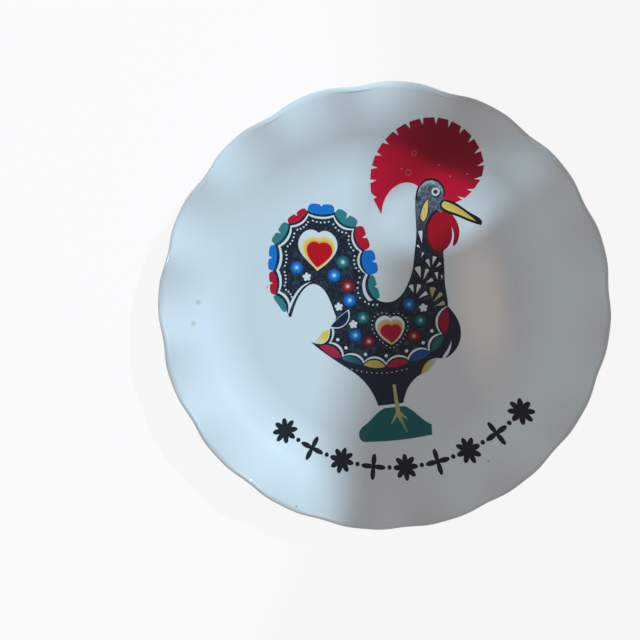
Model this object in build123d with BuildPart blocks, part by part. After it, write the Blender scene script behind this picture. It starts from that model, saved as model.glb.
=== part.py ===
from build123d import *
from math import asin, cos, pi, radians, sin
import os

# Souvenir plate of white glazed porcelain with a lobed, wavy rim. The traditional
# rooster on it is a fired transfer: thin films of colour lying on the glaze, each
# colour printed beside the others, with the white details left as bare glaze.
# Millimetres. +Z points out of the dish, +Y from the rooster's feet to its comb,
# and the origin is the middle of the plane that the foot stands on.

# Plate
rim_radius = 74.8  # mean radius over the wavy edge
well_radius = 45.0  # flat floor of the dish
wall = 3.2  # thickness of the porcelain
foot_height = 2.6
foot_radius = 41.0  # middle of the foot's standing face
foot_width = 4.0
foot_rounding = 0.8
cove_radius = 28.0  # hollow curve from the floor up to the rim
cove_angle = 32.0  # steepest slope of the rim, in degrees
shoulder_radius = 45.0  # curve that flattens the rim towards the lip

# Waves of the rim
lobe_count = 16
flute_start = 54.0  # radius where the waves begin
flute_rise = 1.0  # height of the waves at the lip, up and down
lobe_swell = 0.75  # how far the lobes stand out and the bays lie in
lobe_squareness = 0.13  # flattens the tops of the lobes

# Fired colour
ink_gap = 0.03  # between the glaze and the colour film
ink_thickness = 0.12
print_height = 108.0  # from the mound's base to the comb's top
drawn_height = 108.0  # the same distance in the drawings below
line_white = 0.8  # bare line inside the feathers and the wing's scallops
line_black = 0.8  # dark line that edges the tail

os.makedirs("parts", exist_ok=True)

floor_height = foot_height + wall
lip_radius = wall / 2
lip_start = rim_radius - lip_radius
cove_end = well_radius + cove_radius * sin(radians(cove_angle))
print_scale = print_height / drawn_height
flat_margin = 1.2  # the skin starts on the flat floor, this far inside the cove
flat_radius = well_radius - flat_margin
points_per_lobe = 6
profile_steps = 24
lip_steps = 8
outline_steps = 8  # points looked at on each edge of a drawing


def slope(radius):
    """Slope of the dish's upper side, in radians."""
    if radius <= well_radius:
        return 0.0
    if radius <= cove_end:
        return asin((radius - well_radius) / cove_radius)
    return asin(sin(radians(cove_angle)) - (radius - cove_end) / shoulder_radius)


def height(radius):
    """Height of the dish's upper side before the rim is waved."""
    angle = slope(radius)
    if radius <= cove_end:
        return floor_height + cove_radius * (1 - cos(angle))
    cove_rise = cove_radius * (1 - cos(radians(cove_angle)))
    return floor_height + cove_rise + shoulder_radius * (cos(angle) - cos(radians(cove_angle)))


def ring(radius, level, at=None):
    """Closed waved curve round the plate, as strongly waved as the rim is at radius at."""
    wave_radius = radius if at is None else at
    strength = max(0.0, (wave_radius - flute_start) / (rim_radius - flute_start)) ** 2
    count = lobe_count * points_per_lobe
    points = []
    for i in range(count):
        angle = 2 * pi * i / count
        wave = -cos(lobe_count * angle)
        swell = lobe_swell * wave - lobe_squareness * (2 * wave**2 - 1)
        out = radius + strength * swell
        points.append((out * cos(angle), out * sin(angle), level - strength * flute_rise * wave))
    steps = [i / count for i in range(count + 1)]
    return Wire([Edge.make_spline(points, periodic=True, parameters=steps)])


# Plate body: one skin from the floor over the lip and back to the underside, with a
# standing foot ring below
upper_radii = [flat_radius, (flat_radius + well_radius) / 2]
for step in range(profile_steps + 1):
    upper_radii.append(well_radius + (lip_start - well_radius) * step / profile_steps)
upper_rings = [ring(r, height(r)) for r in upper_radii]

lip_slope = slope(lip_start)
lip_centre = (lip_start + lip_radius * sin(lip_slope), height(lip_start) - lip_radius * cos(lip_slope))
lip_rings = []
for step in range(1, lip_steps):
    angle = pi / 2 + lip_slope - pi * step / lip_steps
    out = lip_centre[0] + lip_radius * cos(angle)
    lip_rings.append(ring(out, lip_centre[1] + lip_radius * sin(angle), at=rim_radius))

lower_rings = []
for r in reversed(upper_radii):
    lower_rings.append(ring(r + wall * sin(slope(r)), height(r) - wall * cos(slope(r)), at=r))

with BuildPart() as plate_body:
    add(Solid.make_loft(upper_rings + lip_rings + lower_rings))
    with BuildSketch():
        Circle(foot_radius + foot_width / 2)
        Circle(foot_radius - foot_width / 2, mode=Mode.SUBTRACT)
    extrude(amount=foot_height + wall / 2)
    standing_edges = plate_body.edges().filter_by(GeomType.CIRCLE).group_by(Axis.Z)[0]
    fillet(standing_edges, radius=foot_rounding)

# Sheet of colour film, flat over the floor and waved over the rim, from which every
# print is cut
film_rings = [ring(r, height(r) + ink_gap) for r in upper_radii]
floor_film = Solid.extrude(Face(film_rings[0]), Vector(0, 0, ink_thickness))
whole_film = floor_film
for face in Shell.make_loft(film_rings).faces():
    whole_film = whole_film + Solid.extrude(face, Vector(0, 0, ink_thickness))
film_ceiling = floor_height + rim_radius


def lay(drawing):
    """Lay a flat drawing on the glaze as a patch of the colour film."""
    outline = scale(drawing.sketch, by=print_scale, mode=Mode.PRIVATE)
    shares = [i / outline_steps for i in range(outline_steps + 1)]
    reach = max((edge @ share).length for edge in outline.edges() for share in shares)
    extrude(outline, amount=film_ceiling)
    add(floor_film if reach < flat_radius - ink_thickness else whole_film, mode=Mode.INTERSECT)


def write(piece, name):
    piece.part.label = name
    export_step(piece.part, f"parts/{name}.step")


def blob(*points):
    """Fill a smooth closed outline."""
    with BuildLine() as outline:
        Spline(*points, periodic=True)
    make_face(outline.edges())


def lens(one_side, other_side, mode=Mode.ADD):
    """Fill the space between two smooth lines that meet at both ends."""
    with BuildLine() as outline:
        Spline(*one_side)
        Spline(*other_side)
    make_face(outline.edges(), mode=mode)


petal_bulge = 0.16  # how far a petal's end stands out, against its width


def petal(base, tip, width):
    """Fill a petal, pointed at its base and cut almost straight at its tip."""
    root, end = Vector(*base), Vector(*tip)
    along = (end - root).normalized()
    side = along.rotate(Axis.Z, 90) * (width / 2)
    shoulder = end - along * (width * petal_bulge)
    with BuildLine() as outline:
        Line(root, shoulder + side)
        ThreePointArc(shoulder + side, end, shoulder - side)
        Line(shoulder - side, root)
    make_face(outline.edges())


def stroke(start, end, start_width, end_width):
    """Fill a straight brush stroke that changes its width."""
    first, last = Vector(*start), Vector(*end)
    side = (last - first).normalized().rotate(Axis.Z, 90)
    with BuildLine() as outline:
        Polyline(
            first + side * (start_width / 2),
            last + side * (end_width / 2),
            last - side * (end_width / 2),
            first - side * (start_width / 2),
            close=True,
        )
    make_face(outline.edges())


# Hearts: three nested outlines each, bare glaze, yellow and red, every side running from
# the notch over a lobe to the tip
tail_heart_tip = (-20.2, 16.8)
with BuildSketch() as tail_heart_bare:
    lens(
        [(-18.0, 29.6), (-21.8, 31.05), (-24.5, 29.2), (-25.5, 26.0), (-23.4, 21.2), tail_heart_tip],
        [(-18.0, 29.6), (-15.4, 30.0), (-12.7, 27.6), (-12.2, 24.3), (-14.4, 20.7), tail_heart_tip],
    )
with BuildSketch() as tail_heart_yellow_shape:
    lens(
        [(-18.3, 28.2), (-21.0, 28.8), (-23.8, 27.6), (-24.6, 25.0), (-22.6, 20.6), tail_heart_tip],
        [(-18.3, 28.2), (-15.9, 28.5), (-13.6, 26.9), (-12.9, 24.0), (-14.8, 20.7), tail_heart_tip],
    )
with BuildSketch() as tail_heart_red_shape:
    lens(
        [(-18.3, 25.9), (-20.4, 26.9), (-22.3, 25.8), (-22.8, 23.6), (-21.4, 19.9), (-20.0, 18.0)],
        [(-18.3, 25.9), (-16.6, 26.2), (-14.7, 25.0), (-14.2, 22.8), (-15.9, 20.4), (-20.0, 18.0)],
    )
with BuildSketch() as tail_heart_yellow_drawing:
    add(tail_heart_yellow_shape.sketch)
    add(tail_heart_red_shape.sketch, mode=Mode.SUBTRACT)

body_heart_tip = (2.5, -11.8)
with BuildSketch() as body_heart_bare:
    lens(
        [(3.0, -2.4), (1.1, -1.3), (-1.4, -2.2), (-2.4, -4.2), (-2.1, -6.4), (-0.4, -9.2), body_heart_tip],
        [(3.0, -2.4), (4.9, -1.9), (7.0, -3.1), (7.7, -5.2), (7.0, -7.6), (5.2, -10.0), body_heart_tip],
    )
with BuildSketch() as body_heart_yellow_shape:
    lens(
        [(3.1, -3.5), (1.5, -2.7), (-0.9, -3.4), (-1.9, -5.1), (-1.6, -6.9), (-0.1, -9.1), body_heart_tip],
        [(3.1, -3.5), (4.9, -3.0), (6.5, -4.0), (7.1, -5.7), (6.5, -7.6), (4.9, -9.8), body_heart_tip],
    )
with BuildSketch() as body_heart_red_shape:
    lens(
        [(3.3, -5.2), (1.8, -4.5), (0.0, -5.1), (-0.8, -6.4), (-0.6, -7.6), (0.6, -9.1), (2.6, -11.1)],
        [(3.3, -5.2), (4.7, -4.8), (5.9, -5.5), (6.4, -6.8), (5.8, -8.3), (4.5, -9.8), (2.6, -11.1)],
    )
with BuildSketch() as body_heart_yellow_drawing:
    add(body_heart_yellow_shape.sketch)
    add(body_heart_red_shape.sketch, mode=Mode.SUBTRACT)

with BuildPart() as tail_heart_yellow:
    lay(tail_heart_yellow_drawing)
write(tail_heart_yellow, "tail_heart_yellow")

with BuildPart() as tail_heart_red:
    lay(tail_heart_red_shape)
write(tail_heart_red, "tail_heart_red")

with BuildPart() as body_heart_yellow:
    lay(body_heart_yellow_drawing)
write(body_heart_yellow, "body_heart_yellow")

with BuildPart() as body_heart_red:
    lay(body_heart_red_shape)
write(body_heart_red, "body_heart_red")

# Flowers: round, eight-petalled, scattered over the tail and the body
flower_radius = 2.45
flower_petals = 8
petal_radius = 0.32 * flower_radius


def flowers(*centres):
    with Locations(*centres):
        Circle(flower_radius - petal_radius / 2)
        with PolarLocations(flower_radius - petal_radius, flower_petals):
            Circle(petal_radius)


with BuildSketch() as blue_flowers_drawing:
    flowers((-27.0, 18.8), (-14.5, 14.6), (-10.2, 5.4), (-9.6, -7.0), (10.0, 1.6))
with BuildSketch() as green_flowers_drawing:
    flowers((-11.0, 18.8), (-6.3, -1.2), (13.3, -4.4))
with BuildSketch() as red_flowers_drawing:
    flowers((-10.3, 10.3), (-5.2, -9.7), (10.5, -9.6))

with BuildPart() as flowers_blue:
    lay(blue_flowers_drawing)
write(flowers_blue, "flowers_blue")

with BuildPart() as flowers_green:
    lay(green_flowers_drawing)
write(flowers_green, "flowers_green")

with BuildPart() as flowers_red:
    lay(red_flowers_drawing)
write(flowers_red, "flowers_red")

# Stars of bare glaze
star_points = 5
star_radius = 1.5
star_waist = 0.95

with BuildSketch() as stars:
    with Locations((-23.9, 15.2), (-14.2, 3.6), (-9.9, -3.1), (14.7, -0.1)):
        Circle(star_waist)
        with PolarLocations(star_waist, star_points, start_angle=18):
            Circle(star_radius - star_waist)

# Tail: corners of the scalloped edge, going round clockwise, each with the rise of the
# scallop that follows it and the height and notch of the feather tip that fills it
tail_scallops = [
    ((-32.3, 4.2), 1.1, 1.2, 0.0),
    ((-35.6, 10.4), 0.9, 1.6, 1.0),
    ((-35.2, 18.6), 0.95, 1.9, 1.1),
    ((-33.4, 27.5), 1.15, 2.0, 1.4),
    ((-27.8, 34.0), 1.1, 1.7, 1.1),
    ((-21.0, 37.5), 0.9, 2.6, 0.7),
    ((-11.8, 35.8), 1.55, 2.2, 1.7),
    ((-5.2, 30.2), 1.45, 2.4, 1.5),
    ((-3.2, 21.8), 1.8, 3.1, 1.3),
    ((-2.2, 13.2), 1.7, 1.3, 0.9),
]
tail_end = (-0.8, 4.6)
tail_centre = Vector(-18.5, 20.0)
outer_side = -30.0  # left of here the lines along the edge stand further apart
outer_spread = 1.25
end_spread = Vector(-1.8, -0.15)  # way and strength of the inset at the edge's end


def tail_corner(index, inset):
    corner = Vector(*([row[0] for row in tail_scallops] + [tail_end])[index])
    if index in (-1, len(tail_scallops)):
        return corner + end_spread * inset
    spread = outer_spread if corner.X < outer_side else 1.0
    return corner + (tail_centre - corner).normalized() * inset * spread


def tail_edge(inset, back=False):
    """Scallops of the tail's edge, moved inwards."""
    for index in range(len(tail_scallops)):
        first, last = tail_corner(index, inset), tail_corner(index + 1, inset)
        rise = tail_scallops[index][1]
        if back:
            SagittaArc(last, first, rise)
        else:
            SagittaArc(first, last, -rise)


def feather_tip(index):
    """Fill one coloured feather tip: two blunt lobes with a notch between them."""
    _, rise, tall, notch = tail_scallops[index]
    first, last = tail_corner(index, 0), tail_corner(index + 1, 0)
    along = last - first
    out = along.normalized().rotate(Axis.Z, 90)

    def at(share, level):
        return first + along * share + out * level

    with BuildLine() as outline:
        Polyline(
            first, at(0.04, tall * 0.72), at(0.13, tall * 0.97), at(0.28, tall * 1.02), at(0.43, tall * 0.96),
            at(0.5, tall * 0.96 - notch),
            at(0.57, tall * 0.96), at(0.72, tall * 1.02), at(0.87, tall * 0.97), at(0.96, tall * 0.72), last,
        )
        SagittaArc(last, first, rise)
    make_face(outline.edges())


with BuildSketch() as tail_feathers_green_drawing:
    for index in (0, 3, 6, 9):
        feather_tip(index)
with BuildSketch() as tail_feathers_red_drawing:
    for index in (1, 4, 7):
        feather_tip(index)
with BuildSketch() as tail_feathers_blue_drawing:
    for index in (2, 5, 8):
        feather_tip(index)

with BuildPart() as tail_feathers_green:
    lay(tail_feathers_green_drawing)
write(tail_feathers_green, "tail_feathers_green")

with BuildPart() as tail_feathers_red:
    lay(tail_feathers_red_drawing)
write(tail_feathers_red, "tail_feathers_red")

with BuildPart() as tail_feathers_blue:
    lay(tail_feathers_blue_drawing)
write(tail_feathers_blue, "tail_feathers_blue")

# Bare lines and beads of the tail
bead_radius = 0.33
beads_per_scallop = 5
bead_spread = 0.84  # share of each scallop that its beads take up
bead_gap = 1.2  # from the white line to the middle of the beads
bead_inset = line_black + line_white + bead_gap

with BuildSketch() as tail_white:
    with BuildLine():
        tail_edge(line_black)
        Line(tail_corner(-1, line_black), tail_corner(-1, line_black + line_white))
        tail_edge(line_black + line_white, back=True)
        Line(tail_corner(0, line_black + line_white), tail_corner(0, line_black))
    make_face()
    lens(
        [(-32.0, 2.8), (-30.3, 6.0), (-28.3, 9.1), (-25.6, 11.8), (-22.4, 13.3)],
        [(-32.0, 2.8), (-31.2, 6.2), (-29.0, 9.5), (-26.0, 12.3), (-22.4, 13.3)],
    )
    for index, (_, rise, _, _) in enumerate(tail_scallops):
        with BuildLine(mode=Mode.PRIVATE) as bead_row:
            SagittaArc(tail_corner(index, bead_inset), tail_corner(index + 1, bead_inset), -rise)
        first_bead = 1 if index == 0 else 0
        shares = [(bead + 0.5) / beads_per_scallop - 0.5 for bead in range(first_bead, beads_per_scallop)]
        with Locations(*[bead_row.line @ (0.5 + share * bead_spread) for share in shares]):
            Circle(bead_radius)
    with Locations((-5.0, 4.3), (-3.8, 3.4), (-2.4, 2.9), (-0.9, 2.8)):
        Circle(bead_radius)

# Wing: corners of the scalloped white line, from the rump to the breast, each with the
# rise of the scallop that follows it
wing_scallops = [
    ((-17.2, -3.9), 0.6),
    ((-18.9, -8.6), 1.4),
    ((-14.8, -13.9), 1.8),
    ((-7.8, -16.9), 2.1),
    ((-0.2, -18.4), 1.9),
    ((7.7, -17.4), 1.95),
    ((15.2, -15.2), 1.75),
    ((20.0, -9.9), 2.7),
]
wing_end = (23.1, -0.6)
wing_centre = Vector(2.0, 0.0)


def wing_corner(index, inset):
    corner = Vector(*([row[0] for row in wing_scallops] + [wing_end])[index])
    return corner + (wing_centre - corner).normalized() * inset


def wing_edge(inset, back=False):
    """Scallops of the wing's edge, moved towards the wing's middle."""
    order = range(len(wing_scallops))
    for index in reversed(order) if back else order:
        first, last = wing_corner(index, inset), wing_corner(index + 1, inset)
        rise = wing_scallops[index][1]
        if back:
            SagittaArc(last, first, -rise)
        else:
            SagittaArc(first, last, rise)


wing_bead_radius = 0.6
small_bead_radius = 0.22
heart_bead_count = 26
heart_bead_share = 1.23  # size of the row of beads against the bare heart
hem_bead_count = 12

with BuildSketch() as wing_white:
    with BuildLine():
        wing_edge(-line_white / 2)
        Line(wing_corner(-1, -line_white / 2), wing_corner(-1, line_white / 2))
        wing_edge(line_white / 2, back=True)
        Line(wing_corner(0, line_white / 2), wing_corner(0, -line_white / 2))
    make_face()
    with Locations((-15.9, -7.8), (-13.4, -11.0), (-6.9, -14.1), (0.2, -15.4), (7.4, -14.5)):
        Circle(wing_bead_radius)
    with Locations((13.4, -12.3), (16.8, -8.5)):
        Circle(wing_bead_radius)

with BuildSketch() as heart_beads:
    around_heart = scale(body_heart_bare.sketch, by=heart_bead_share, about=(2.7, -5.8), mode=Mode.PRIVATE)
    heart_row = around_heart.face().outer_wire()
    with Locations(*[heart_row @ (bead / heart_bead_count) for bead in range(heart_bead_count)]):
        Circle(small_bead_radius)

with BuildSketch() as hem_beads:
    with BuildLine(mode=Mode.PRIVATE) as hem_row:
        ThreePointArc((-12.2, -18.8), (-2.5, -21.3), (6.8, -20.9))
    with Locations(*[hem_row.line @ (bead / (hem_bead_count - 1)) for bead in range(hem_bead_count)]):
        Circle(small_bead_radius)

# Rump: a dark blue plume with a bare edge, and a yellow tuft behind the body
rump_plume_share = 1.16  # size of the bare shape against the plume

with BuildSketch() as rump_plume_drawing:
    lens(
        [(-11.4, 1.8), (-13.2, 0.8), (-15.2, -0.6), (-17.8, -2.9)],
        [(-11.4, 1.8), (-11.5, -0.9), (-13.3, -3.0), (-15.8, -3.5), (-17.8, -2.9)],
    )
with BuildSketch() as rump_plume_bare:
    scale(rump_plume_drawing.sketch, by=rump_plume_share, about=(-14.3, -1.2))
with BuildSketch() as rump_tuft_drawing:
    lens(
        [(-18.7, -3.8), (-18.8, -5.6), (-19.6, -7.2), (-21.4, -8.4), (-24.2, -7.75)],
        [(-18.7, -3.8), (-20.2, -4.4), (-22.4, -6.0), (-24.2, -7.75)],
    )

with BuildPart() as rump_plume:
    lay(rump_plume_drawing)
write(rump_plume, "rump_plume")

with BuildPart() as rump_tuft:
    lay(rump_tuft_drawing)
write(rump_tuft, "rump_tuft")

# Wattle: a large drop with a dark edge, and a second lobe behind it
with BuildSketch() as wattle_drawing:
    blob(
        (23.5, 31.6), (26.2, 28.8), (27.0, 24.9), (25.8, 20.6),
        (22.1, 18.4), (19.4, 21.3), (18.8, 25.9), (20.6, 30.0),
    )
with BuildSketch() as wattle_edge_shape:
    blob(
        (22.9, 32.3), (25.4, 28.8), (26.2, 24.9), (25.0, 20.6),
        (21.8, 17.5), (18.5, 20.9), (17.8, 26.0), (19.7, 30.5),
    )
    add(wattle_drawing.sketch)
with BuildSketch() as wattle_edge_drawing:
    add(wattle_edge_shape.sketch)
    add(wattle_drawing.sketch, mode=Mode.SUBTRACT)

# Beak: a yellow blade inside a dark outline
with BuildSketch() as beak_edge_shape:
    lens(
        [(24.6, 35.5), (26.4, 35.4), (30.2, 33.2), (33.8, 30.1), (37.2, 26.2), (36.8, 25.6)],
        [(24.6, 35.5), (23.7, 33.4), (24.4, 32.1), (28.0, 30.1), (32.2, 27.8), (36.8, 25.6)],
    )
with BuildSketch() as beak_drawing:
    lens(
        [(25.4, 35.1), (28.8, 33.2), (32.2, 30.4), (35.4, 27.1)],
        [(25.4, 35.1), (24.4, 33.4), (25.0, 32.7), (29.0, 30.5), (32.4, 28.6), (35.4, 27.1)],
    )
with BuildSketch() as wattle_fold_drawing:
    with BuildLine():
        Line((24.0, 31.0), (24.3, 32.4))
        Spline(
            (24.3, 32.4), (26.8, 31.1), (28.2, 29.3), (29.2, 26.6), (29.4, 24.0),
            (28.8, 21.8), (27.7, 20.1), (26.7, 19.7),
        )
        Spline((26.7, 19.7), (27.2, 21.8), (27.5, 24.2), (26.7, 26.9), (25.6, 29.0), (24.0, 31.0))
    make_face()
    add(wattle_edge_shape.sketch, mode=Mode.SUBTRACT)
    add(beak_edge_shape.sketch, mode=Mode.SUBTRACT)
with BuildSketch() as beak_edge_drawing:
    add(beak_edge_shape.sketch)
    add(beak_drawing.sketch, mode=Mode.SUBTRACT)
    add(wattle_edge_shape.sketch, mode=Mode.SUBTRACT)

# Head: grey stippled patch with a dark crown line, an eye and a yellow ear drop
eye_centre = (22.75, 38.55)
eye_radius = 1.4
pupil_radius = 0.72
crown_base = (20.7, 36.4)  # middle of the level above which the crown line runs
crown_share = 0.89  # size of the grey patch against the head inside the crown line

with BuildSketch() as head_shape:
    with BuildLine():
        Spline(
            (15.05, 26.2), (15.2, 30.0), (15.5, 34.6), (16.1, 38.6), (17.4, 41.4), (19.3, 42.9),
            (21.4, 43.3), (23.5, 42.6), (25.2, 40.9), (25.9, 38.8), (25.5, 36.4), (24.6, 34.6),
        )
        Polyline((24.6, 34.6), (24.6, 31.0), (18.6, 26.2), (15.05, 26.2))
    make_face()
with BuildSketch() as ear_drop_drawing:
    lens(
        [(20.1, 36.5), (19.7, 33.6), (19.2, 31.4), (17.8, 29.2)],
        [(20.1, 36.5), (18.5, 34.9), (17.3, 32.4), (16.9, 30.4), (17.8, 29.2)],
    )
with BuildSketch() as eye_bare:
    with Locations(eye_centre):
        Circle(eye_radius)
with BuildSketch() as eye_drawing:
    lens(
        [(21.6, 37.6), (22.9, 38.0), (24.3, 38.8)],
        [(21.6, 37.6), (22.9, 36.4), (24.3, 37.1), (24.3, 38.8)],
    )
    add(eye_bare.sketch, mode=Mode.SUBTRACT)
    with Locations(eye_centre):
        Circle(pupil_radius)
with BuildSketch() as crown_drawing:
    add(head_shape.sketch)
    scale(head_shape.sketch, by=crown_share, about=crown_base, mode=Mode.SUBTRACT)
    with Locations(crown_base):
        Rectangle(drawn_height, drawn_height, align=(Align.CENTER, Align.MIN), mode=Mode.INTERSECT)
    lens(
        [(20.3, 37.0), (20.05, 33.5), (19.5, 31.2), (17.8, 28.8)],
        [(20.3, 37.0), (18.2, 35.1), (16.95, 32.5), (16.5, 30.3), (17.8, 28.8)],
    )
    for cut in (ear_drop_drawing, beak_edge_shape, wattle_edge_shape):
        add(cut.sketch, mode=Mode.SUBTRACT)
with BuildSketch() as head_drawing:
    add(head_shape.sketch)
    for cut in (crown_drawing, ear_drop_drawing, eye_bare, eye_drawing):
        add(cut.sketch, mode=Mode.SUBTRACT)
    for cut in (beak_edge_shape, wattle_edge_shape, wattle_fold_drawing):
        add(cut.sketch, mode=Mode.SUBTRACT)

with BuildPart() as wattle:
    lay(wattle_drawing)
write(wattle, "wattle")

with BuildPart() as wattle_edge:
    lay(wattle_edge_drawing)
write(wattle_edge, "wattle_edge")

with BuildPart() as wattle_fold:
    lay(wattle_fold_drawing)
write(wattle_fold, "wattle_fold")

with BuildPart() as beak:
    lay(beak_drawing)
write(beak, "beak")

with BuildPart() as beak_edge:
    lay(beak_edge_drawing)
write(beak_edge, "beak_edge")

with BuildPart() as head:
    lay(head_drawing)
write(head, "head")

with BuildPart() as crown_line_print:
    lay(crown_drawing)
write(crown_line_print, "crown_line")

with BuildPart() as eye:
    lay(eye_drawing)
write(eye, "eye")

with BuildPart() as ear_drop:
    lay(ear_drop_drawing)
write(ear_drop, "ear_drop")

# Comb: a round fan with sawn teeth, hollow below where it leaves the head
comb_centre = Vector(20.1, 43.4)
comb_radius = 18.8
comb_taper = 0.125  # radius lost per degree below the level of the centre, on the beak's side
comb_notch = 2.1
comb_first_notch = 175.0
comb_notch_step = 14.1
comb_notch_count = 16
notch_width = 2.9  # degrees from one tooth's end to the bottom of the notch
notch_back = 0.9  # degrees from the bottom of the notch to the next tooth's start


def comb_point(angle, depth):
    reach = comb_radius - comb_taper * max(0.0, -angle) - depth
    return comb_centre + Vector(reach * cos(radians(angle)), reach * sin(radians(angle)))


with BuildSketch() as comb_drawing:
    with BuildLine():
        hollow = Spline((3.9, 33.2), (4.8, 36.6), (7.4, 40.5), (12.3, 42.8), (17.2, 41.0))
        teeth = [(3.9, 33.2), (1.8, 38.7), (2.9, 39.2), (1.5, 40.4), (1.2, 41.5)]
        for notch in range(comb_notch_count):
            angle = comb_first_notch - notch * comb_notch_step
            teeth.append(comb_point(angle + notch_width, 0))
            teeth.append(comb_point(angle, comb_notch))
            teeth.append(comb_point(angle - notch_back, 0))
        Polyline(*teeth, (29.0, 34.2), (24.0, 36.0), hollow @ 1)
    make_face()
    add(head_shape.sketch, mode=Mode.SUBTRACT)
    add(beak_edge_shape.sketch, mode=Mode.SUBTRACT)

with BuildPart() as comb:
    lay(comb_drawing)
write(comb, "comb")

# Neck: fans of bare petals, with one yellow fan above the breast
with BuildSketch() as neck_petals_bare:
    petal((18.5, 13.3), (17.6, 16.3), 1.4)
    petal((19.2, 14.1), (20.4, 17.0), 1.4)
    petal((20.2, 13.1), (22.1, 14.6), 1.1)
    petal((14.8, 10.3), (14.1, 14.2), 2.2)
    petal((15.6, 9.4), (17.5, 13.0), 1.3)
    petal((16.2, 8.3), (18.9, 9.3), 1.3)
    petal((11.9, 5.4), (11.2, 8.3), 1.7)
    petal((12.7, 4.9), (14.2, 8.1), 1.5)
    petal((13.3, 3.3), (16.5, 5.0), 1.5)
    petal((20.5, 8.9), (20.3, 11.6), 1.3)
    petal((21.9, 8.6), (22.1, 10.3), 0.7)
    petal((15.6, 17.0), (16.6, 18.8), 0.8)
    petal((15.7, 20.4), (14.8, 21.5), 0.9)
    petal((16.45, 21.8), (16.35, 26.3), 1.5)
with BuildSketch() as neck_petals_drawing:
    petal((18.0, 2.9), (18.6, 6.6), 2.2)
    petal((18.1, 1.4), (21.5, 4.2), 1.5)
    petal((18.7, 0.0), (22.1, 0.8), 1.6)

with BuildPart() as neck_petals:
    lay(neck_petals_drawing)
write(neck_petals, "neck_petals")

# Leg: one yellow shank with three toes
with BuildSketch() as leg_drawing:
    stroke((1.8, -25.9), (2.05, -33.0), 1.1, 1.3)
    stroke((2.05, -33.0), (2.3, -37.6), 1.3, 1.6)
    stroke((2.2, -35.8), (-0.6, -39.9), 1.3, 0.4)
    stroke((2.2, -36.8), (4.6, -43.4), 1.5, 0.5)
    stroke((2.5, -36.2), (5.1, -38.7), 1.2, 0.5)

with BuildPart() as leg:
    lay(leg_drawing)
write(leg, "leg")

# Mound: the green hump under the foot
with BuildSketch() as mound_drawing:
    with BuildLine():
        Spline((-2.4, -34.0), (-5.5, -35.8), (-9.2, -38.9), (-11.9, -41.1), (-12.3, -44.0), (-9.4, -45.6))
        ThreePointArc((-9.4, -45.6), (2.0, -46.1), (13.2, -45.4))
        Line((13.2, -45.4), (13.4, -41.6))
        Spline((13.4, -41.6), (10.4, -39.3), (7.3, -36.0), (4.6, -34.0))
        Line((4.6, -34.0), (-2.4, -34.0))
    make_face()
    add(leg_drawing.sketch, mode=Mode.SUBTRACT)

with BuildPart() as mound:
    lay(mound_drawing)
write(mound, "mound")

# Coloured scallops along the wing's edge, set in the dark hem below the white line
scallop_gap = 0.95  # from the middle of the white line to the colour
scallop_space = 0.5  # dark line between neighbours


def scallop(index, sag):
    """Fill one coloured scallop with an arched top and a sagging base."""
    first, last = wing_corner(index, -scallop_gap), wing_corner(index + 1, -scallop_gap)
    draw_in = (last - first).normalized() * (scallop_space / 2)
    first, last = first + draw_in, last - draw_in
    with BuildLine() as outline:
        SagittaArc(first, last, wing_scallops[index][1])
        SagittaArc(last, first, sag)
    make_face(outline.edges())


with BuildSketch() as wing_red_drawing:
    lens(
        [(-22.6, -9.5), (-19.6, -9.3), (-17.2, -10.7), (-15.7, -14.4)],
        [(-22.6, -9.5), (-20.6, -11.8), (-18.3, -13.7), (-15.7, -14.4)],
    )
    scallop(4, 0.9)
with BuildSketch() as wing_green_drawing:
    scallop(2, 0.4)
    scallop(6, 1.1)
with BuildSketch() as wing_yellow_drawing:
    scallop(3, 0.7)
with BuildSketch() as wing_blue_drawing:
    scallop(5, 0.9)
with BuildSketch() as breast_red_drawing:
    lens(
        [(22.9, -1.6), (20.6, -2.7), (19.4, -5.4), (20.0, -8.0), (21.5, -10.2)],
        [(22.9, -1.6), (23.0, -5.2), (22.4, -8.2), (21.5, -10.2)],
    )

with BuildPart() as wing_scallops_red:
    lay(wing_red_drawing)
write(wing_scallops_red, "wing_scallops_red")

with BuildPart() as wing_scallops_green:
    lay(wing_green_drawing)
write(wing_scallops_green, "wing_scallops_green")

with BuildPart() as wing_scallop_yellow:
    lay(wing_yellow_drawing)
write(wing_scallop_yellow, "wing_scallop_yellow")

with BuildPart() as wing_scallop_blue:
    lay(wing_blue_drawing)
write(wing_scallop_blue, "wing_scallop_blue")

with BuildPart() as breast_scallop:
    lay(breast_red_drawing)
write(breast_scallop, "breast_scallop")

# Thigh tuft: a yellow wisp behind the thigh
with BuildSketch() as thigh_tuft_drawing:
    lens(
        [(11.8, -23.2), (12.4, -21.2), (14.0, -19.3), (17.8, -18.2)],
        [(11.8, -23.2), (14.2, -22.2), (16.1, -20.5), (17.8, -18.2)],
    )

with BuildPart() as thigh_tuft:
    lay(thigh_tuft_drawing)
write(thigh_tuft, "thigh_tuft")

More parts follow.
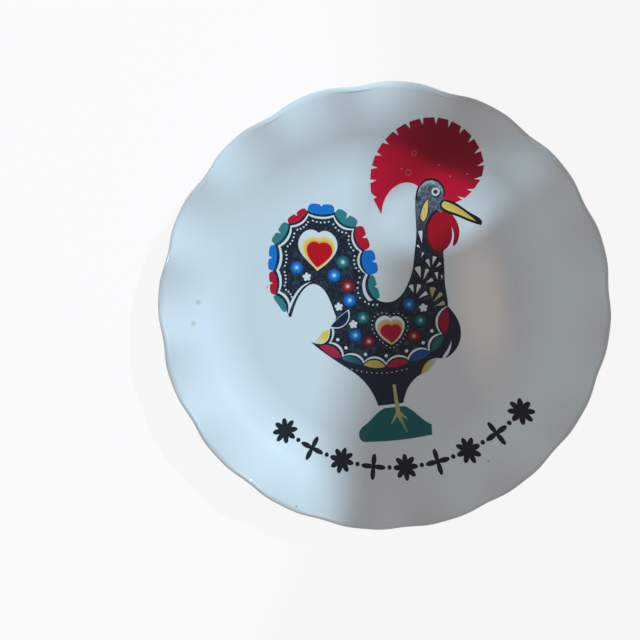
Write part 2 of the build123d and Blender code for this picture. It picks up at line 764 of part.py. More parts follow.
# Dark ground of the tail, body and neck, with every bare or coloured motif left out of it
with BuildSketch() as body_ground_drawing:
    with BuildLine():
        Spline((23.3, 18.6), (23.1, 12.0), (22.9, 6.0), (23.2, 1.6), wing_end)
        wing_edge(0, back=True)
        Line(wing_scallops[0][0], (-15.5, 0.1))
        arch = Spline(
            (-15.5, 0.1), (-16.3, 3.4), (-17.4, 7.5), (-19.4, 11.0), (-22.2, 12.55),
            (-25.4, 11.1), (-28.2, 7.8), (-30.0, 4.4), (-31.1, 1.9),
        )
        Polyline(arch @ 1, (-31.8, 2.2), tail_scallops[0][0])
        tail_edge(0)
        Spline(
            tail_end, (0.9, 3.6), (3.6, 3.2), (6.4, 4.1), (8.7, 6.3), (10.6, 9.3),
            (12.2, 12.9), (13.6, 18.6), (14.6, 23.4), (15.05, 26.2),
        )
        Polyline((15.05, 26.2), (18.6, 26.2), (23.3, 18.6))
    make_face()
    for bare in (tail_white, wing_white, heart_beads, stars, neck_petals_bare):
        add(bare.sketch, mode=Mode.SUBTRACT)
    for bare in (tail_heart_bare, body_heart_bare, rump_plume_bare):
        add(bare.sketch, mode=Mode.SUBTRACT)
    for coloured in (blue_flowers_drawing, green_flowers_drawing, red_flowers_drawing, neck_petals_drawing):
        add(coloured.sketch, mode=Mode.SUBTRACT)
    add(wattle_edge_shape.sketch, mode=Mode.SUBTRACT)

with BuildPart() as body_ground:
    lay(body_ground_drawing)
write(body_ground, "body_ground")

# Dark hem below the wing's white line, with the breast and the thigh
with BuildSketch() as hem_drawing:
    with BuildLine():
        wing_edge(0)
        Spline(wing_end, (25.0, -3.4), (26.6, -8.0), (26.1, -12.9), (23.9, -16.4), (20.6, -18.6))
        Spline((20.6, -18.6), (19.0, -18.5), (17.8, -18.2))
        Spline((17.8, -18.2), (14.0, -19.3), (12.4, -21.2), (11.8, -23.2))
        Spline((11.8, -23.2), (9.2, -24.7), (6.9, -27.1), (5.3, -30.0), (4.3, -32.9))
        Line((4.3, -32.9), (-4.6, -32.9))
        Spline((-4.6, -32.9), (-6.4, -27.2), (-10.4, -21.3), (-15.4, -16.9), (-20.8, -12.2), (-25.2, -7.7))
        Spline((-25.2, -7.7), (-24.3, -8.05), (-21.4, -8.65), (-19.3, -7.4), (-18.5, -5.7), (-18.1, -3.6))
        Line((-18.1, -3.6), wing_scallops[0][0])
    make_face()
    lens(
        [(19.8, -19.8), (19.6, -18.2), (20.6, -16.7), (22.0, -14.8), (23.1, -12.5)],
        [(19.8, -19.8), (20.7, -18.3), (21.8, -17.0), (22.7, -15.2), (23.1, -12.5)],
        mode=Mode.SUBTRACT,
    )
    for cut in (wing_white, hem_beads, wing_red_drawing, wing_green_drawing, wing_yellow_drawing):
        add(cut.sketch, mode=Mode.SUBTRACT)
    for cut in (wing_blue_drawing, breast_red_drawing, leg_drawing, rump_plume_bare):
        add(cut.sketch, mode=Mode.SUBTRACT)

with BuildPart() as hem:
    lay(hem_drawing)
write(hem, "hem")

# Border on the lower rim: rosettes and four-leaf sprigs with beads between, on one arc
border_centre = (3.65, 2.8)
border_radius = 58.3
border_middle = 269.0
border_step = 11.2
border_count = 9  # rosettes and sprigs together
motif_radius = 4.3
rosette_petals = 8
rosette_petal = (1.8, 0.92)  # half length and half width
sprig_leaves = 4
sprig_leaf = (2.1, 0.85)
border_bead_radius = 0.75


def on_border(place):
    """Location on the arc, turned to face its centre; whole places hold the motifs."""
    angle = border_middle + (place - (border_count - 1) / 2) * border_step
    spot = Vector(border_radius, 0).rotate(Axis.Z, angle) + Vector(*border_centre)
    return Location(spot, angle)


def rosette(leaves, half_length, half_width):
    """Fill a ring of long leaves that meet in the middle."""
    with PolarLocations(motif_radius - half_length, leaves):
        Ellipse(half_length, half_width)
    Circle(motif_radius - 2 * half_length + half_width)


with BuildSketch() as rosettes_drawing:
    for place in range(0, border_count, 2):
        with Locations(on_border(place)):
            rosette(rosette_petals, *rosette_petal)
with BuildSketch() as sprigs_drawing:
    for place in range(1, border_count, 2):
        with Locations(on_border(place)):
            rosette(sprig_leaves, *sprig_leaf)
with BuildSketch() as border_beads_drawing:
    for place in range(border_count - 1):
        with Locations(on_border(place + 0.5)):
            Circle(border_bead_radius)

with BuildPart() as border_rosettes:
    lay(rosettes_drawing)
write(border_rosettes, "border_rosettes")

with BuildPart() as border_sprigs:
    lay(sprigs_drawing)
write(border_sprigs, "border_sprigs")

with BuildPart() as border_beads:
    lay(border_beads_drawing)
write(border_beads, "border_beads")

write(plate_body, "plate_body")
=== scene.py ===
from math import atan, cos, pi, radians, sin

import bmesh
import bpy
import numpy as np
from mathutils import Matrix, Vector


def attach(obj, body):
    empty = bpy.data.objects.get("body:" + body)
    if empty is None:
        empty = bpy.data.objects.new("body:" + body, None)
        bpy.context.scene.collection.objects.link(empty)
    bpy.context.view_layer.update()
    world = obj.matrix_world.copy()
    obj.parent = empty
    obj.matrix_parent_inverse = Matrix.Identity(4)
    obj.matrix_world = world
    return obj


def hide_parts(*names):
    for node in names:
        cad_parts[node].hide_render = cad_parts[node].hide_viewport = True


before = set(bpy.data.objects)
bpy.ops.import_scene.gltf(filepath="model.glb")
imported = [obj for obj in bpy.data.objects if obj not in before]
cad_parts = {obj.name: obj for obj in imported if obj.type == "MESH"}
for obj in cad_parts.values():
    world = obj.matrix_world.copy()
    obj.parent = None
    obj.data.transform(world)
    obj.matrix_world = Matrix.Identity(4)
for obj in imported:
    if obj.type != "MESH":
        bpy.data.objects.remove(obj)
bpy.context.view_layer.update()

# Plate body. White porcelain pressed in a mould: a flat floor, a hollow cove and a rim
# waved into sixteen lobes with a rolled lip. It is dipped in clear glaze and stands on a
# narrow foot ring, whose edge is wiped bare before the firing.
mm = 0.001
rim_radius = 74.77 * mm
well_radius = 45.0 * mm
wall = 3.2 * mm
foot_height = 2.6 * mm
foot_radius = 41.0 * mm
foot_width = 4.0 * mm
foot_rounding = 0.8 * mm
foot_fillet = 0.5 * mm
cove_radius = 28.0 * mm
cove_angle = radians(32.0)
shoulder_radius = 45.0 * mm
lobe_count = 16
flute_start = 54.0 * mm
flute_rise = 0.985 * mm
lobe_swell = 0.75 * mm
lobe_squareness = 0.13 * mm
floor_height = foot_height + wall
lip_radius = wall / 2
lip_start = rim_radius - lip_radius
cove_end = well_radius + cove_radius * sin(cove_angle)
closing_radius = 2 * mm
floor_rings, dish_rings, lip_rings, corner_rings, under_rings = 12, 70, 22, 7, 10
points_per_lobe = 24
settling_rounds = 12


def slope(radius):
    """Slope of the dish's upper side, in radians."""
    cove = np.arcsin(np.clip((radius - well_radius) / cove_radius, 0, 1))
    shoulder = np.arcsin(np.clip(sin(cove_angle) - (radius - cove_end) / shoulder_radius, -1, 1))
    return np.where(radius <= cove_end, cove, shoulder)


def rise(radius):
    """Height of the dish's upper side before the rim is waved."""
    cove = cove_radius * (1 - np.cos(slope(np.minimum(radius, cove_end))))
    shoulder = shoulder_radius * (np.cos(slope(radius)) - cos(cove_angle))
    return floor_height + cove + np.where(radius > cove_end, shoulder, 0)


def wave_strength(radius):
    """0 on the floor, growing to 1 at the rim."""
    return np.clip((radius - flute_start) / (rim_radius - flute_start), 0, None) ** 2


def swell(wave):
    """How far the lobes stand out; the second term flattens their tops."""
    return lobe_swell * wave - lobe_squareness * (2 * wave**2 - 1)


def glaze_height(x, y):
    """Height of the glazed upper side over a point of the plan."""
    radius = np.hypot(x, y)
    wave = -np.cos(lobe_count * np.arctan2(y, x))
    plain = radius
    for _ in range(settling_rounds):
        plain = radius - wave_strength(plain) * swell(wave)
    return rise(plain) - wave_strength(plain) * flute_rise * wave


def plate_profile():
    """Rows of radius, height and the radius that sets the waves, from the floor's middle
    over the lip and under the plate to the middle of the underside."""
    inner_floor = np.linspace(closing_radius, well_radius, floor_rings)[:-1]
    dish = np.linspace(well_radius, lip_start, dish_rings)
    upper = [(r, rise(r), r) for r in [*inner_floor, *dish]]
    lean = slope(lip_start)
    middle = (lip_start + lip_radius * sin(lean), rise(lip_start) - lip_radius * cos(lean))
    lip = []
    for turn in np.linspace(0, pi, lip_rings)[1:-1]:
        angle = pi / 2 + lean - turn
        out, up = lip_radius * cos(angle), lip_radius * sin(angle)
        lip.append((middle[0] + out, middle[1] + up, rim_radius))
    lower = []
    for r in dish[::-1]:
        lower.append((r + wall * sin(slope(r)), rise(r) - wall * cos(slope(r)), r))
    corner = np.linspace(0, pi / 2, corner_rings)
    side = [(foot_fillet * (1 - sin(t)), foot_height - foot_fillet * (1 - cos(t))) for t in corner]
    side += [(-foot_rounding * (1 - cos(t)), foot_rounding * (1 - sin(t))) for t in corner]
    outside, inside = foot_radius + foot_width / 2, foot_radius - foot_width / 2
    foot = [(outside + out, up, 0.0) for out, up in side]
    foot += [(inside - out, up, 0.0) for out, up in reversed(side)]
    inner_under = np.linspace(inside - closing_radius, closing_radius, under_rings)
    under = [(r, foot_height, 0.0) for r in inner_under]
    return np.array(upper + lip + lower + foot + under, float)


def plate_mesh():
    """Closed mesh of the whole plate: one ring of points for every row of the profile."""
    rows = plate_profile()
    count = lobe_count * points_per_lobe
    angle = np.arange(count) * 2 * pi / count
    wave = -np.cos(lobe_count * angle)
    strength = wave_strength(rows[:, 2])[:, None]
    out = rows[:, 0][:, None] + strength * swell(wave)
    level = rows[:, 1][:, None] - strength * flute_rise * wave
    points = np.stack([out * np.cos(angle), out * np.sin(angle), level], axis=2).reshape(-1, 3)
    faces = [list(range(count))]
    for row in range(len(rows) - 1):
        near, far = row * count, (row + 1) * count
        for i in range(count):
            j = (i + 1) % count
            faces.append([near + i, far + i, far + j, near + j])
    last = (len(rows) - 1) * count
    faces.append([last + i for i in reversed(range(count))])
    mesh = bpy.data.meshes.new("plate")
    mesh.from_pydata(points.tolist(), [], faces)
    mesh.polygons.foreach_set("use_smooth", [True] * len(faces))
    return mesh


class Wire:
    """A socket of a material's nodes, so that shader maths reads as plain sums."""

    def __init__(self, tree, socket):
        self.tree = tree
        self.socket = socket

    def node(self, kind, settings=None, links=None, out=0):
        """Add a node, set it up, feed its sockets and give one of its outputs."""
        made = self.tree.nodes.new(kind)
        for name, value in (settings or {}).items():
            setattr(made, name, value)
        for name, value in (links or {}).items():
            if isinstance(value, Wire):
                self.tree.links.new(value.socket, made.inputs[name])
            else:
                made.inputs[name].default_value = value
        return Wire(self.tree, made.outputs[out])

    def maths(self, operation, *values):
        return self.node("ShaderNodeMath", {"operation": operation}, dict(enumerate(values)))

    def __add__(self, other):
        return self.maths("ADD", self, other)

    def __radd__(self, other):
        return self.maths("ADD", other, self)

    def __sub__(self, other):
        return self.maths("SUBTRACT", self, other)

    def __rsub__(self, other):
        return self.maths("SUBTRACT", other, self)

    def __mul__(self, other):
        return self.maths("MULTIPLY", self, other)

    def __rmul__(self, other):
        return self.maths("MULTIPLY", other, self)

    def __truediv__(self, other):
        return self.maths("DIVIDE", self, other)

    def vector_maths(self, operation, links, out=0):
        return self.node("ShaderNodeVectorMath", {"operation": operation}, links, out)

    def noise(self, size, detail=2.0):
        """Soft cloudy values from 0 to 1, with patches about this many millimetres wide."""
        pattern = {"Vector": self, "Scale": 1 / size, "Detail": detail}
        return self.node("ShaderNodeTexNoise", {}, pattern)

    def specks(self, size, share):
        """1 in the middle of small round specks on a grid this many millimetres wide, else 0."""
        cells = {"Vector": self, "Scale": 1 / size}
        distance = self.node("ShaderNodeTexVoronoi", {"feature": "F1"}, cells, "Distance")
        return distance.step_down(share * 0.6, share)

    def step_up(self, low, high):
        """0 below low, 1 above high, and smooth between."""
        limits = {"Value": self, "From Min": low, "From Max": high, "To Min": 0.0, "To Max": 1.0}
        return self.node("ShaderNodeMapRange", {"interpolation_type": "SMOOTHSTEP"}, limits)

    def step_down(self, low, high):
        """1 below low, 0 above high, and smooth between."""
        return 1 - self.step_up(low, high)

    def distance(self, point):
        """Distance in the plan from a point, in millimetres."""
        flat = self.vector_maths("MULTIPLY", {0: self, 1: (1, 1, 0)})
        return flat.vector_maths("DISTANCE", {0: flat, 1: (*point, 0)}, "Value")

    def along(self, start, end):
        """0 at the start and 1 at the end of a line in the plan, going on past both."""
        first, last = Vector((*start, 0)), Vector((*end, 0))
        run = last - first
        step = run / run.length_squared
        return self.vector_maths("DOT_PRODUCT", {0: self, 1: step}, "Value") - first.dot(step)

    def mix(self, first, second):
        """First colour where this value is 0, second where it is 1."""
        links = {0: self}
        for socket, colour in ((6, first), (7, second)):
            links[socket] = colour if isinstance(colour, Wire) else (*colour, 1)
        return self.node("ShaderNodeMix", {"data_type": "RGBA"}, links, 2)

    def shade(self, colour):
        """A colour made lighter or darker by this value."""
        return self.vector_maths("SCALE", {0: colour, "Scale": self})


def finish(name):
    """New material: its shader node and its place on the object in millimetres."""
    material = bpy.data.materials.new(name)
    material.use_nodes = True
    tree = material.node_tree
    shader = tree.nodes["Principled BSDF"]
    place = Wire(tree, tree.nodes.new("ShaderNodeTexCoord").outputs["Object"])
    return material, shader, place.vector_maths("SCALE", {0: place, "Scale": 1 / mm})


def feed(shader, socket, wire):
    wire.tree.links.new(wire.socket, shader.inputs[socket])


def upper_side(level, spot):
    """1 on the dish's upper side and 0 on its underside, near a point of the plan."""
    top = float(rise(np.hypot(*spot) * mm)) / mm
    hidden_depth, shown_depth = 2.2, 1.4
    return level.step_up(top - hidden_depth, top - shown_depth)


def glaze_finish():
    """Clear glossy glaze over white clay, with a few stains and specks fired into it."""
    white, cool_white, bare_clay = (0.765, 0.795, 0.815), (0.735, 0.78, 0.81), (0.70, 0.67, 0.60)
    stain_colour, speck_colour = (0.60, 0.47, 0.30), (0.2, 0.17, 0.14)
    stains = (((-61.5, 11.3), 1.7), ((-63.8, 4.4), 1.6))
    specks = ((-36.8, -63.0), (-38.0, 13.2), (31.0, -55.0))
    material, shader, place = finish("white_glaze")
    colour = place.noise(38.0).mix(white, cool_white)
    level = place.node("ShaderNodeSeparateXYZ", {}, {0: place}, "Z")
    for spot, radius in stains:
        wobble = place.distance(spot) + place.noise(1.2) * 0.8
        patch = wobble.step_down(0.3, radius) * upper_side(level, spot)
        colour = (patch * 0.75).mix(colour, stain_colour)
    for spot in specks:
        speck = place.distance(spot).step_down(0.15, 0.5) * upper_side(level, spot)
        colour = (speck * 0.6).mix(colour, speck_colour)
    bare = (level + place.noise(2.5) * 0.5).step_down(0.35, 0.6)
    feed(shader, "Base Color", bare.mix(colour, bare_clay))
    feed(shader, "Roughness", 0.05 + place.noise(6.0) * 0.05 + bare * 0.6)
    ripple = place.noise(9.0, 1.0) * 0.8 + place.noise(2.2, 1.0) * 0.2
    bump = {"Strength": 0.05, "Distance": 1 * mm, "Height": ripple}
    feed(shader, "Normal", place.node("ShaderNodeBump", {}, bump))
    shader.inputs["IOR"].default_value = 1.52
    return material


plate = bpy.data.objects.new("plate", plate_mesh())
bpy.context.scene.collection.objects.link(plate)
plate.data.materials.append(glaze_finish())
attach(plate, "root")
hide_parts("plate_body")

# Hearts. One heart on the tail and one on the body, each printed as a red heart inside a
# yellow one, inside a heart of bare glaze. The yellow fades out into the white and goes
# orange against the red.
ink_top = 0.05 * mm
ink_under = -0.03 * mm
ink_facet = 1.2 * mm
ink_halvings = 8
ink_shine = 0.3
ink_mottle = 0.16
weld = 0.001 * mm
upward = 0.3
crease = 0.6
outline_gap = 0.12 * mm


def film(node, material):
    """Lay one colour of the print on the glaze as a thin sheet that follows the waves."""
    sheet = bmesh.new()
    sheet.from_mesh(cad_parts[node].data)
    bmesh.ops.remove_doubles(sheet, verts=sheet.verts, dist=weld)
    sheet.normal_update()
    hidden = [face for face in sheet.faces if face.normal.z < upward]
    bmesh.ops.delete(sheet, geom=hidden, context="FACES")
    if max(vert.co.xy.length for vert in sheet.verts) > well_radius:
        for _ in range(ink_halvings):
            long_edges = [edge for edge in sheet.edges if edge.calc_length() > ink_facet]
            bmesh.ops.subdivide_edges(sheet, edges=long_edges, cuts=1)
            bmesh.ops.triangulate(sheet, faces=sheet.faces)
    raised = bmesh.ops.extrude_face_region(sheet, geom=sheet.faces[:], use_keep_orig=True)["geom"]
    top = {part for part in raised if isinstance(part, bmesh.types.BMVert)}
    for vert in sheet.verts:
        glaze = float(glaze_height(vert.co.x, vert.co.y))
        vert.co.z = glaze + (ink_top if vert in top else ink_under)
    bmesh.ops.recalc_face_normals(sheet, faces=sheet.faces)
    for edge in sheet.edges:
        edge.smooth = edge.calc_face_angle(0) < crease
    for face in sheet.faces:
        face.smooth = True
    mesh = bpy.data.meshes.new(node + "_colour")
    sheet.to_mesh(mesh)
    sheet.free()
    piece = bpy.data.objects.new(node + "_colour", mesh)
    bpy.context.scene.collection.objects.link(piece)
    mesh.materials.append(material)
    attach(piece, "root")
    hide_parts(node)
    return piece


def ink(name, colour, mottle=ink_mottle):
    """Material of a fired colour: its shader, place and colour, cloudy as printed colour is."""
    material, shader, place = finish(name)
    shader.inputs["Specular IOR Level"].default_value = ink_shine
    feed(shader, "Roughness", 0.09 + place.noise(3.0) * 0.08)
    tone = 1 - mottle / 2 + mottle * place.noise(1.6, 3.0)
    return material, shader, place, tone.shade(colour)


def plain_print(node, colour, mottle=ink_mottle):
    """Lay a patch of one even colour."""
    material, shader, place, tinted = ink(node, colour, mottle)
    feed(shader, "Base Color", tinted)
    film(node, material)


def mark_inner_edge(piece, inner_node):
    """Store 1 at the points of a ring of colour on its inner outline, and 0 at the others."""
    inner = np.array([vert.co[:2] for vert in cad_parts[inner_node].data.vertices])
    marks = []
    for vert in piece.data.vertices:
        gap = np.hypot(*(inner - np.array(vert.co[:2])).T).min()
        marks.append(1.0 if gap < outline_gap else 0.0)
    piece.data.attributes.new("inner", "FLOAT", "POINT").data.foreach_set("value", marks)


def heart_yellow_finish(name, yellow, orange, cream):
    """Cream at the outer edge, then yellow, then orange against the red."""
    material, shader, place, tinted = ink(name, yellow)
    inner = place.node("ShaderNodeAttribute", {"attribute_name": "inner"}, {}, "Fac")
    tinted = inner.step_up(0.0, 0.6).mix(cream, tinted)
    tinted = (inner.step_up(0.6, 1.0) * 0.8).mix(tinted, orange)
    feed(shader, "Base Color", tinted)
    return material


tail_colours = (0.57, 0.0035, 0.017), (0.92, 0.58, 0.085), (0.86, 0.27, 0.05), (0.80, 0.74, 0.56)
# The body heart's colours are darker copies of the tail heart's: painted shade.
body_colours_painted_shade = (0.41, 0.0075, 0.040), (0.62, 0.38, 0.09), (0.60, 0.25, 0.065), (0.56, 0.50, 0.36)
for heart, colours in (("tail_heart", tail_colours), ("body_heart", body_colours_painted_shade)):
    red, yellow, orange, cream = colours
    ring_material = heart_yellow_finish(heart + "_yellow", yellow, orange, cream)
    ring = film(heart + "_yellow", ring_material)
    mark_inner_edge(ring, heart + "_red")
    plain_print(heart + "_red", red, 0.1)

# Flowers. Round blue, green and red flowers scattered over the tail and the body, printed
# light in the middle and dark at the petals' ends, with a white dot at the centre. Those on
# the body are darker, which is painted shade.
flower_radius = 2.45


def flower_centres(node):
    """Middles of the separate flowers of a node, in millimetres."""
    sheet = bmesh.new()
    sheet.from_mesh(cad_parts[node].data)
    bmesh.ops.remove_doubles(sheet, verts=sheet.verts, dist=weld)
    middles, left = [], set(sheet.verts)
    while left:
        group, edge_of_group = set(), [left.pop()]
        while edge_of_group:
            vert = edge_of_group.pop()
            group.add(vert)
            near = {edge.other_vert(vert) for edge in vert.link_edges} & left
            left -= near
            edge_of_group.extend(near)
        corners = np.array([vert.co[:2] for vert in group])
        middles.append((corners.min(0) + corners.max(0)) / 2 / mm)
    sheet.free()
    return sorted(map(tuple, middles))


def flower_finish(node, colour, dark, pale):
    """Rings of colour, from shares of the flower's radius."""
    dot, glow, petal_ends = (0.09, 0.32), (0.1, 0.55), (0.5, 1.0)
    material, shader, place, tinted = ink(node, colour)
    nearest = None
    for middle in flower_centres(node):
        reach = place.distance(middle)
        nearest = reach if nearest is None else nearest.maths("MINIMUM", nearest, reach)
    share = (nearest + (place.noise(0.8) - 0.5) * 0.3) / flower_radius
    tinted = share.step_up(*petal_ends).mix(tinted, dark)
    tinted = (share.step_down(*glow) * 0.3).mix(tinted, pale)
    tinted = share.step_down(*dot).mix(tinted, pale)
    # Painted shade: the flowers on the body are darkened.
    painted_shade_on_body = place.along((-11.0, 6.0), (2.0, -5.0)).step_up(0.0, 1.0)
    feed(shader, "Base Color", (1 - painted_shade_on_body * 0.38).shade(tinted))
    return material


for node, slot, colour, dark, pale in (
    ("flowers_blue", "enamel_blue", (0.006, 0.19, 0.60), (0.005, 0.045, 0.21), (0.42, 0.80, 1.0)),
    ("flowers_green", "enamel_green", (0.021, 0.185, 0.20), (0.008, 0.06, 0.06), (0.50, 0.88, 0.80)),
    ("flowers_red", "enamel_red", (0.32, 0.014, 0.035), (0.10, 0.008, 0.017), (0.85, 0.60, 0.56)),
):
    film(node, flower_finish(node, colour, dark, pale))

# Tail feathers. Flat tips of green, red and blue round the tail, each with a notch, butted
# against the tail's dark edge.
plain_print("tail_feathers_green", (0.029, 0.229, 0.237), 0.12)
plain_print("tail_feathers_red", (0.55, 0.009, 0.034), 0.12)
plain_print("tail_feathers_blue", (0.004, 0.187, 0.63), 0.12)

# Rump. A dark blue plume with a bare edge, and behind it a tuft of yellow that fades out
# to the glaze on its outer side.
plain_print("rump_plume", (0.007, 0.020, 0.058))
tuft_yellow, faded_yellow = (0.80, 0.60, 0.075), (0.71, 0.68, 0.50)
material, shader, place, tinted = ink("rump_tuft", tuft_yellow)
fade = place.along((-19.5, -5.5), (-23.4, -6.6)) + (place.noise(0.9) - 0.5) * 0.5
feed(shader, "Base Color", fade.step_up(0.2, 1.1).mix(tinted, faded_yellow))
film("rump_tuft", material)

# Wattle. A large red drop, darker towards its foot in painted shade, with a second lobe
# behind it, inside a dark line that turns maroon at the bottom.
wattle_red, wattle_painted_shade = (0.49, 0.0048, 0.021), (0.27, 0.004, 0.017)
material, shader, place, tinted = ink("wattle", wattle_red)
# Painted shade: the red darkens towards the wattle's lower right.
foot_share = place.along((21.5, 27.5), (26.6, 21.5)).step_up(0.0, 1.1)
feed(shader, "Base Color", foot_share.mix(tinted, wattle_painted_shade))
film("wattle", material)

fold_red, fold_dark = (0.46, 0.006, 0.022), (0.25, 0.009, 0.026)
material, shader, place, tinted = ink("wattle_fold", fold_red)
foot_share = place.along((25.5, 29.0), (28.0, 20.0)).step_up(0.1, 0.9)
feed(shader, "Base Color", foot_share.mix(tinted, fold_dark))
film("wattle_fold", material)

line_black, line_maroon = (0.03, 0.015, 0.026), (0.20, 0.008, 0.017)
material, shader, place, tinted = ink("wattle_edge", line_black)
foot_share = place.along((19.0, 30.0), (22.0, 18.2)) * 0.5
feed(shader, "Base Color", foot_share.mix(tinted, line_maroon))
film("wattle_edge", material)

# Beak. A yellow blade, paler along its lower side and browner towards the tip, in a dark
# outline.
beak_yellow, beak_brown, beak_pale = (0.84, 0.60, 0.07), (0.60, 0.42, 0.12), (0.82, 0.63, 0.15)
material, shader, place, tinted = ink("beak", beak_yellow)
tip_share = place.along((25.0, 34.0), (35.0, 27.4))
tinted = (tip_share * 0.7).mix(tinted, beak_brown)
lower_side = place.along((30.8, 31.6), (29.6, 30.2)).step_up(0.2, 1.0)
feed(shader, "Base Color", lower_side.mix(tinted, beak_pale))
film("beak", material)
plain_print("beak_edge", (0.012, 0.013, 0.021))

# Head. A grey patch stippled with pale dots, darker towards the nape, with a dark crown
# line, an eye of bare glaze with a dark pupil, and a yellow ear drop.
head_grey, dot_grey, rim_grey = (0.075, 0.093, 0.118), (0.235, 0.285, 0.345), (0.50, 0.54, 0.59)
nape_grey, patch_black = (0.045, 0.058, 0.078), (0.02, 0.023, 0.03)
head_middle, patch_middle = (20.7, 37.6), (16.6, 37.0)
material, shader, place, tinted = ink("head", head_grey, 0.9)
grain = place.noise(0.62, 2.0).step_up(0.42, 0.58)
tinted = (grain * 0.65).mix(tinted, dot_grey)
nape = place.along((19.5, 36.5), (16.4, 27.0)).step_up(0.25, 1.1)
tinted = nape.mix(tinted, nape_grey)
crown = place.along((20.7, 36.6), (20.7, 39.8)).step_up(0.2, 1.0)
crown_rim = crown * place.distance(head_middle).step_up(3.2, 4.3)
tinted = (crown_rim * (0.35 + grain * 0.6)).mix(tinted, rim_grey)
dark_patch = place.distance(patch_middle).step_down(0.4, 1.5) * 0.8
feed(shader, "Base Color", dark_patch.mix(tinted, patch_black))
film("head", material)
plain_print("crown_line", (0.018, 0.018, 0.033), 0.4)
plain_print("eye", (0.038, 0.05, 0.083), 0.4)
plain_print("ear_drop", (0.82, 0.64, 0.19))

# Comb. A wide fan of red with sawn teeth, the largest patch of the print. The colour is
# darker at the upper right, which is painted shade, and has a few pale bubble rings and
# pinholes.
comb_red, cloud_red, comb_painted_shade_red = (0.72, 0.0056, 0.042), (0.50, 0.0045, 0.034), (0.26, 0.0035, 0.024)
bubble_pink, pinhole_pink = (0.75, 0.30, 0.32), (0.75, 0.45, 0.45)
bubbles = (((14.4, 46.0), 0.9), ((16.7, 52.0), 0.7))
pinholes = ((28.0, 43.0), (33.5, 43.0), (24.6, 47.2), (12.2, 47.5))
material, shader, place, tinted = ink("comb", comb_red, 0.2)
tinted = (place.noise(7.0, 3.0) * 0.35).mix(tinted, cloud_red)
# Painted shade: the red darkens over the comb's upper part, most of all at its right.
upper = place.along((18.7, 46.6), (22.0, 52.0)).step_up(0.0, 1.0)
painted_shade_rightward = place.along((5.0, 48.0), (22.0, 46.0)).step_up(0.0, 1.0)
tinted = (upper * (0.6 + painted_shade_rightward * 0.35)).mix(tinted, comb_painted_shade_red)
for middle, radius in bubbles:
    off_ring = place.distance(middle) - radius
    bubble = (off_ring * off_ring).step_down(0.01, 0.14)
    tinted = (bubble * 0.18).mix(tinted, bubble_pink)
for middle in pinholes:
    pinhole = place.distance(middle).step_down(0.1, 0.35)
    tinted = (pinhole * 0.5).mix(tinted, pinhole_pink)
feed(shader, "Base Color", tinted)
film("comb", material)

# Neck petals. One fan of three yellow petals above the breast. The other fans on the neck
# are bare glaze, left open in the dark ground.
plain_print("neck_petals", (0.46, 0.40, 0.165))

# Leg and mound. A yellow shank with three toes, thinner in colour where the toes cross the
# green, standing on a plain dark green hump.
leg_yellow, toe_green = (0.43, 0.42, 0.155), (0.17, 0.27, 0.15)
material, shader, place, tinted = ink("leg", leg_yellow)
toes = place.along((2.2, -35.5), (3.5, -42.0)).step_up(0.0, 1.0)
feed(shader, "Base Color", toes.mix(tinted, toe_green))
film("leg", material)

mound_green, toe_shadow = (0.009, 0.125, 0.13), (0.05, 0.13, 0.05)
material, shader, place, tinted = ink("mound", mound_green, 0.2)
round_toes = place.distance((2.6, -37.0)).step_down(1.5, 5.0)
feed(shader, "Base Color", (round_toes * 0.4).mix(tinted, toe_shadow))
film("mound", material)

# Wing scallops. A row of coloured scallops along the wing's lower edge, with painted light
# making them lighter towards the tail, and a red one on the breast.
for node, slot, colour, gain in (
    ("wing_scallops_red", "enamel_red", (0.33, 0.017, 0.050), 0.3),
    ("wing_scallops_green", "enamel_green", (0.019, 0.115, 0.128), 1.0),
):
    material, shader, place, tinted = ink(node, colour, 0.22)
    # Painted light: the scallops brighten towards the tail and stay darker towards the breast.
    painted_light_towards_tail = place.along((-9.0, -14.0), (-17.0, -11.0)).step_up(0.0, 1.0)
    feed(shader, "Base Color", (1 + painted_light_towards_tail * gain).shade(tinted))
    film(node, material)
plain_print("wing_scallop_yellow", (0.53, 0.39, 0.074), 0.22)
plain_print("wing_scallop_blue", (0.012, 0.088, 0.26), 0.22)
plain_print("breast_scallop", (0.31, 0.007, 0.031), 0.22)

# Thigh tuft. A wisp of yellow behind the thigh, printed without an outline, that fades out
# to the glaze.
wisp_yellow, faded_wisp = (0.56, 0.43, 0.068), (0.52, 0.50, 0.45)
material, shader, place, tinted = ink("thigh_tuft", wisp_yellow)
fade = place.along((12.6, -20.6), (15.4, -21.6)) + (place.noise(0.9) - 0.5) * 0.4
feed(shader, "Base Color", fade.step_up(0.2, 1.1).mix(tinted, faded_wisp))
film("thigh_tuft", material)

# Dark grounds. The near-black of the tail, body and neck, faintly clouded with green and
# full of tiny paler flecks and dots, and the plain dark hem and thigh below the wing.
ground_black, leaf_green = (0.0125, 0.017, 0.031), (0.028, 0.080, 0.097)
fleck_grey, pale_grey = (0.085, 0.10, 0.12), (0.16, 0.18, 0.20)
material, shader, place, tinted = ink("body_ground", ground_black, 0.5)
leaves = place.noise(2.6, 3.0).step_up(0.48, 0.68)
tinted = (leaves * 0.6).mix(tinted, leaf_green)
flecks = place.noise(0.55, 1.0).step_up(0.58, 0.72)
tinted = (flecks * 0.5).mix(tinted, fleck_grey)
dots = place.specks(0.62, 0.24) * place.noise(3.2, 2.0).step_up(0.4, 0.6)
feed(shader, "Base Color", (dots * 0.4).mix(tinted, pale_grey))
film("body_ground", material)
plain_print("hem", (0.015, 0.022, 0.040), 0.4)

# Border. Rosettes and four-leaf sprigs with beads between them along the lower rim, printed
# in nearly the same black as the grounds.
for node in ("border_rosettes", "border_sprigs", "border_beads"):
    plain_print(node, (0.014, 0.018, 0.027), 0.3)

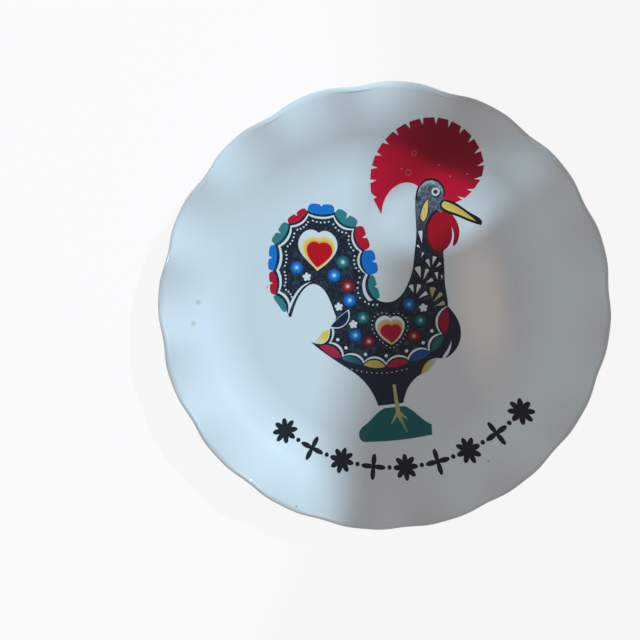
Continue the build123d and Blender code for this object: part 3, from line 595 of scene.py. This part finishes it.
# Floor. A pale sheet that the plate stands on, almost white to the camera, with the
# plate's soft shadow on it.
floor_half = 3.0
floor_level = -0.1 * mm
floor_grey = (0.82, 0.82, 0.82, 1)
floor_roughness = 0.9
white_seen, white_mirrored = 0.9, 0.5
floor_mesh = bpy.data.meshes.new("floor")
corners = ((-1, -1), (1, -1), (1, 1), (-1, 1))
sheet_points = [(x * floor_half, y * floor_half, floor_level) for x, y in corners]
floor_mesh.from_pydata(sheet_points, [], [(0, 1, 2, 3)])
floor = bpy.data.objects.new("floor", floor_mesh)
bpy.context.scene.collection.objects.link(floor)
material, shader, place = finish("pale_floor")
shader.inputs["Base Color"].default_value = floor_grey
shader.inputs["Roughness"].default_value = floor_roughness
shader.inputs["Specular IOR Level"].default_value = 0.0
seen = place.node("ShaderNodeLightPath", {}, {}, "Is Camera Ray")
mirrored = place.node("ShaderNodeLightPath", {}, {}, "Is Glossy Ray")
white = place.node("ShaderNodeEmission", {}, {"Color": (1, 1, 1, 1), "Strength": 1.0})
lit = Wire(seen.tree, shader.outputs[0])
share = seen * white_seen + mirrored * white_mirrored
cover = place.node("ShaderNodeMixShader", {}, {0: share, 1: lit, 2: white})
seen.tree.links.new(cover.socket, seen.tree.nodes["Material Output"].inputs["Surface"])
floor_mesh.materials.append(material)

# Studio. A cool lamp stands far off to the upper right and lights the left of the dish, a
# small one lights the head, a weak one the right slope and a weak warm one the floor beside
# the breast. An even pale surround fills the rest.
scene = bpy.context.scene
scene.view_settings.view_transform = "Standard"
scene.world = bpy.data.worlds.new("surround")
scene.world.use_nodes = True
backdrop = scene.world.node_tree.nodes["Background"]
backdrop.inputs["Color"].default_value = (1.0, 0.955, 0.92, 1)
backdrop.inputs["Strength"].default_value = 0.30
pool_blend = 0.03
cool, warm = (0.60, 0.84, 1.0), (1.0, 0.58, 0.30)
# Watts; azimuth and height in degrees; distance in metres; the aim and reach of the pool of
# light in millimetres; the lamp's own radius in metres; the strength of its glint.
lamps = (
    ("window", cool, 510.0, 32, 32, 4.0, (-569.2, -106.2), 400.0, 0.010, 0.2),
    ("head_lamp", cool, 11.0, 15, 36, 0.6, (24.0, 32.5), 13.0, 0.004, 0.0),
    ("fill", cool, 8.0, 165, 18, 1.0, (0.0, 0.0), 130.0, 0.10, 0.2),
    ("warm_lamp", warm, 5.0, 92, 20, 0.6, (35.0, -2.0), 8.5, 0.005, 0.0),
)
for name, colour, watts, azimuth, height, distance, aim, reach, lamp_radius, glint in lamps:
    lamp_data = bpy.data.lights.new(name, "SPOT")
    lamp_data.energy = watts
    lamp_data.color = colour
    lamp_data.shadow_soft_size = lamp_radius
    lamp_data.spot_size = 2 * atan(reach * mm / distance)
    lamp_data.spot_blend = pool_blend
    lamp_data.specular_factor = glint
    lamp = bpy.data.objects.new(name, lamp_data)
    scene.collection.objects.link(lamp)
    turn, lift = radians(azimuth), radians(height)
    towards = Vector((cos(turn) * cos(lift), sin(turn) * cos(lift), sin(lift)))
    lamp.location = Vector((aim[0] * mm, aim[1] * mm, floor_height)) + distance * towards
    lamp.rotation_mode = "QUATERNION"
    lamp.rotation_quaternion = towards.to_track_quat("Z", "Y")

# Camera. Hand-held above the plate and a little below its middle, about three rim radii
# away, tilted and turned slightly.
sight_height = 17.0 * mm
sight_unit = 74.2 * mm
camera_place = Vector((-0.27774, -0.01524, 3.11482)) * sight_unit
roll, tilt, swing = radians(6.65), radians(7.90), radians(-2.21)
camera_data = bpy.data.cameras.new("camera")
camera_data.lens = 39.375
camera_data.sensor_width = 36.0
camera_data.clip_start = 0.01
camera = bpy.data.objects.new("camera", camera_data)
scene.collection.objects.link(camera)
lean = Matrix.Rotation(swing, 4, "Y") @ Matrix.Rotation(tilt, 4, "X") @ Matrix.Rotation(roll, 4, "Z")
middle = Matrix.Translation((0, 0, sight_height))
camera.matrix_world = middle @ lean.inverted() @ Matrix.Translation(camera_place)
scene.camera = camera
